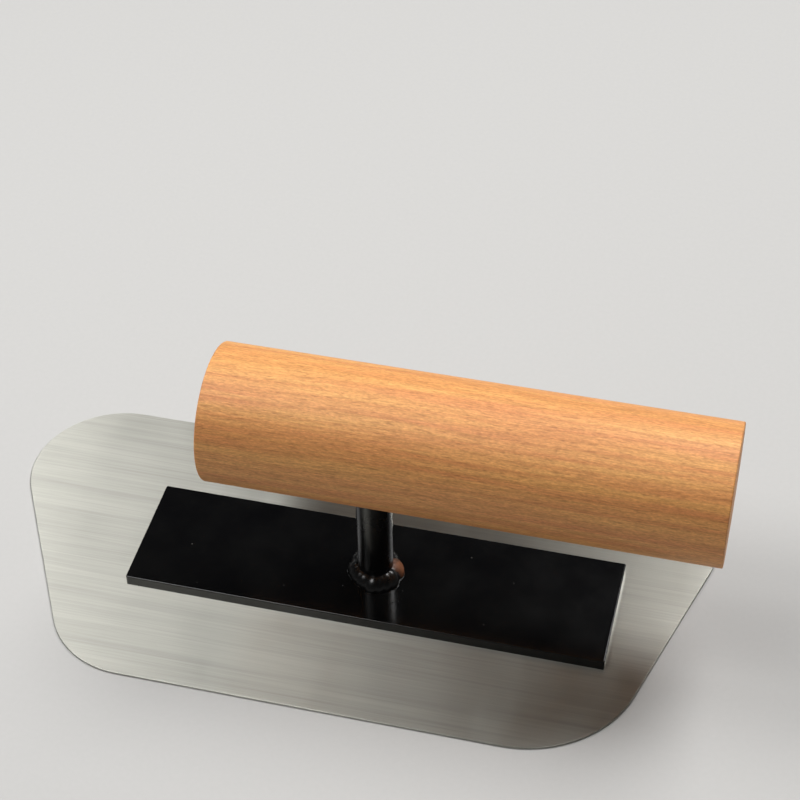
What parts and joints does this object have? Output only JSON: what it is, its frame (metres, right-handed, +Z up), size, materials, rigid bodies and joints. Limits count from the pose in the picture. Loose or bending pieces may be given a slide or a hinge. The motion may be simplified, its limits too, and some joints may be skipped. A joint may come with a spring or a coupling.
{
  "type": "finishing trowel",
  "caption": "Plastering and concrete finishing trowel: thin stainless blade with rounded corners, black welded mounting plate and post, and a straight round wooden handle.",
  "frame": {"origin": "on the working face of the blade, its underside, straight below the axis of the post", "axes": "+X along the handle towards its long end over the heel of the blade, +Y towards the longer long edge of the blade, +Z up from the blade to the handle"},
  "size_m": [0.2072, 0.0979, 0.0757],
  "materials": {
    "stainless_sheet": "brushed along the length",
    "black_gloss_paint": "gloss",
    "weld_steel": "as fused",
    "beech": "turned and sanded, unvarnished",
    "epoxy": "cured in the bore"
  },
  "bodies": {
    "root": {"blade": "stainless_sheet", "mounting_plate": "black_gloss_paint", "spot_welds": "weld_steel", "post": "black_gloss_paint", "post_weld_bead": "black_gloss_paint", "handle": "beech", "socket_epoxy": "epoxy"}
  },
  "joints": []
}
